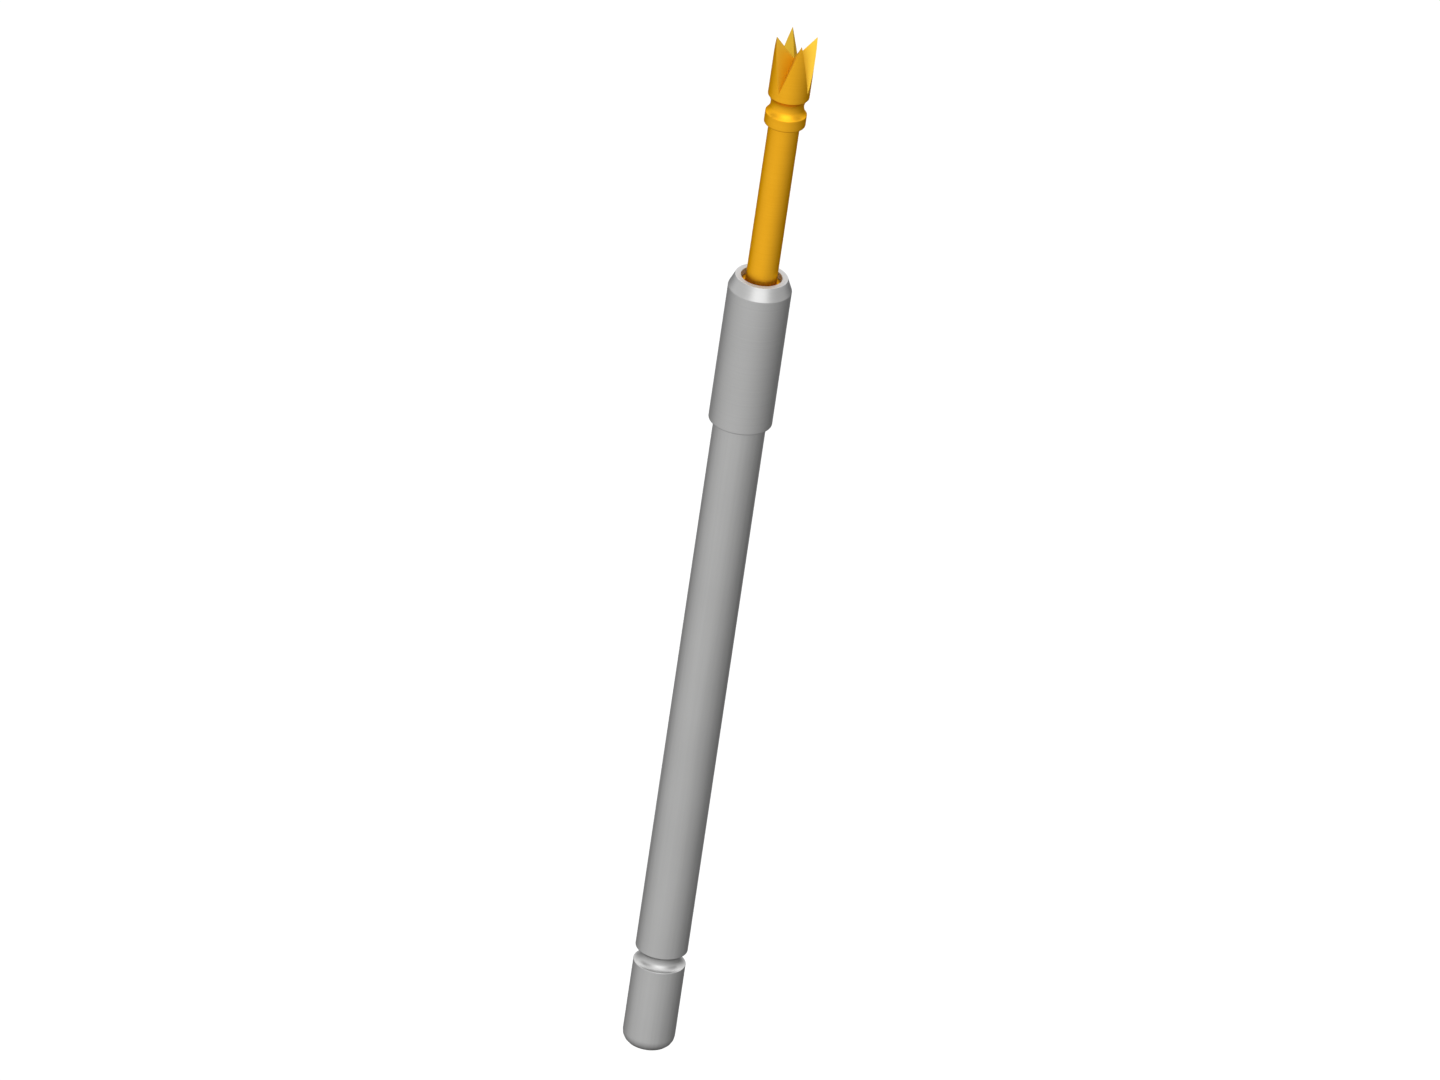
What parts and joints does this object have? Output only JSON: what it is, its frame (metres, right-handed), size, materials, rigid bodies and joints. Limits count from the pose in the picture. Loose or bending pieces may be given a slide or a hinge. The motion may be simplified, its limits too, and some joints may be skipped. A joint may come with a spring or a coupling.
{
  "type": "test probe",
  "caption": "Slim spring-loaded test probe: a plunger with a pointed crown slides in a round collared barrel that plugs into a receptacle and presses on a circuit board's contacts.",
  "frame": {"origin": "on the probe's axis, at the underside of the collar, which is where the probe seats on its receptacle", "axes": "+Z along the probe's axis towards the crown; +X and +Y through points of the crown"},
  "size_m": [0.002, 0.002, 0.036],
  "materials": {
    "barrel_plating": "silver plated, satin",
    "plunger_plating": "gold plated, satin",
    "spring_wire": "bright drawn wire"
  },
  "bodies": {
    "barrel": {"barrel": "barrel_plating"},
    "spring": {"spring": "spring_wire"},
    "plunger": {"plunger": "plunger_plating"}
  },
  "joints": [
    {"name": "spin", "type": "hinge", "parent": "barrel", "child": "spring", "pos_m": [0, 0, 0], "axis": [0, 0, 1], "continuous": true},
    {"name": "stroke", "type": "slide", "parent": "spring", "child": "plunger", "axis": [0, 0, 1], "range_m": [-0.005, 0], "stiffness_N_per_m": 390, "deforming": ["spring"]}
  ]
}
